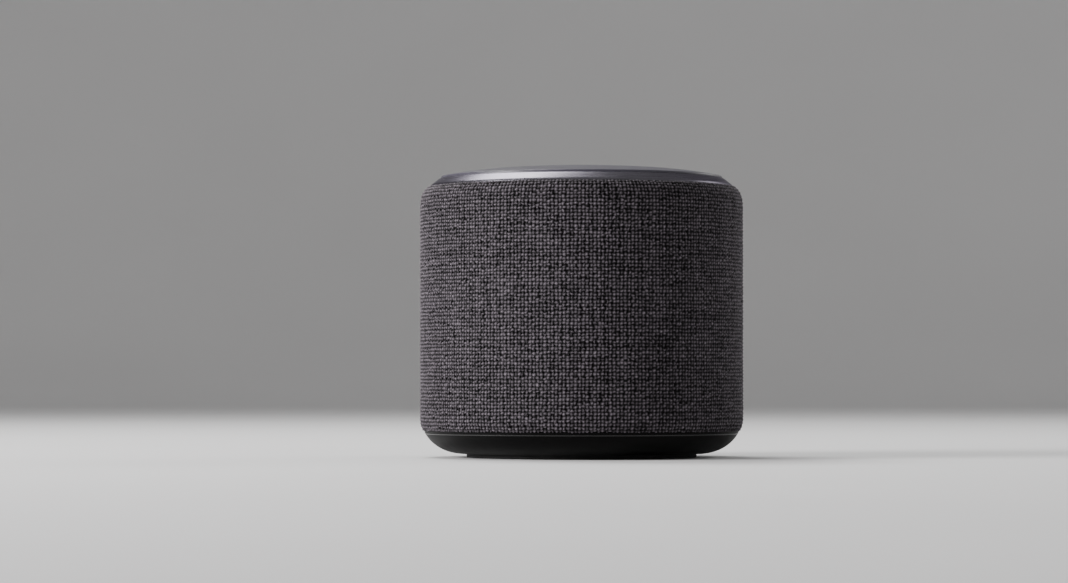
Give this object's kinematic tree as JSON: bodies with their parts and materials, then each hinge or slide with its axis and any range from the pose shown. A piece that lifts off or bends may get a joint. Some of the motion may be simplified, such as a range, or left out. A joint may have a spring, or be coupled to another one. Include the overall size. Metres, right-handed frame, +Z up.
{
  "type": "smart speaker",
  "caption": "Round tabletop smart speaker: woven cloth sleeve, bevelled metal top ring, domed cover with pressable keys, black rounded base, speaker drivers and electronics inside.",
  "frame": {"origin": "centre of the foot ring's underside, on the surface that the speaker stands on", "axes": "+Z up the speaker's axis, -Y towards the listener, +Y towards the sockets at the back"},
  "size_m": [0.12, 0.12, 0.1071],
  "materials": {
    "cloth": "coarse plain weave, heathered",
    "base": "satin black",
    "capacitor": "satin sleeve",
    "cover": "fine matt texture",
    "inner_plastic": "moulded matt",
    "ring": "dark satin anodised",
    "steel": "zinc plated",
    "magnet": "sintered ferrite",
    "rubber": "matt",
    "paper": "pressed fibre",
    "silk": "coated silk",
    "coil": "enamelled copper wire",
    "board": "solder mask",
    "light": "milky",
    "heat_sink": "extruded"
  },
  "bodies": {
    "cabinet": {"fabric_sleeve": "cloth", "base_cover": "base", "rear_bezel": "base", "power_jack": "base", "audio_jack": "base", "capacitor": "capacitor", "top_cover": "cover", "control_panel": "cover", "grille_shell": "inner_plastic", "enclosure_tub": "inner_plastic", "baffle_plate": "inner_plastic", "deflector": "inner_plastic", "top_deck": "inner_plastic", "tweeter_faceplate": "inner_plastic", "top_ring": "ring", "woofer_basket": "steel", "woofer_front_plate": "steel", "woofer_yoke": "steel", "tweeter_yoke": "steel", "tweeter_pole": "steel", "shield_can": "steel", "switch_action": "steel", "switch_volume_up": "steel", "switch_volume_down": "steel", "switch_mic_mute": "steel", "base_screw_1": "steel", "base_screw_2": "steel", "base_screw_3": "steel", "base_screw_4": "steel", "woofer_screw_1": "steel", "woofer_screw_2": "steel", "woofer_screw_3": "steel", "woofer_screw_4": "steel", "deck_screw_1": "steel", "deck_screw_2": "steel", "deck_screw_3": "steel", "deck_screw_4": "steel", "woofer_magnet": "magnet", "tweeter_magnet": "magnet", "rubber_foot": "rubber", "woofer_surround": "rubber", "woofer_gasket": "rubber", "tweeter_surround": "rubber", "woofer_spider": "paper", "main_board": "board", "top_board": "board", "jack_board": "board", "light_guide": "light", "ribbon_cable": "light", "heat_sink": "heat_sink"},
    "woofer_cone_assembly": {"woofer_cone": "paper", "woofer_dust_cap": "paper", "woofer_voice_coil": "coil"},
    "tweeter_dome_assembly": {"tweeter_dome": "silk"},
    "key_action": {"key_action": "cover"},
    "key_volume_up": {"key_volume_up": "cover"},
    "key_volume_down": {"key_volume_down": "cover"},
    "key_mic_mute": {"key_mic_mute": "cover"}
  },
  "joints": [
    {"name": "press_action", "type": "slide", "parent": "cabinet", "child": "key_action", "axis": [0, 0, 1], "range_m": [-0.00035, 0], "stiffness_N_per_m": 1500, "springref_m": 0.0002},
    {"name": "press_volume_up", "type": "slide", "parent": "cabinet", "child": "key_volume_up", "axis": [0, 0, 1], "range_m": [-0.00035, 0], "stiffness_N_per_m": 1500, "springref_m": 0.0002},
    {"name": "press_volume_down", "type": "slide", "parent": "cabinet", "child": "key_volume_down", "axis": [0, 0, 1], "range_m": [-0.00035, 0], "stiffness_N_per_m": 1500, "springref_m": 0.0002},
    {"name": "press_mic_mute", "type": "slide", "parent": "cabinet", "child": "key_mic_mute", "axis": [0, 0, 1], "range_m": [-0.00035, 0], "stiffness_N_per_m": 1500, "springref_m": 0.0002},
    {"name": "woofer_stroke", "type": "slide", "parent": "cabinet", "child": "woofer_cone_assembly", "axis": [0, 0, 1], "range_m": [-0.003, 0.003], "stiffness_N_per_m": 1500, "deforming": ["woofer_surround", "woofer_spider"]},
    {"name": "tweeter_stroke", "type": "slide", "parent": "cabinet", "child": "tweeter_dome_assembly", "axis": [0, 0, 1], "range_m": [-0.0004, 0.0004], "stiffness_N_per_m": 1200, "deforming": ["tweeter_surround"]}
  ]
}
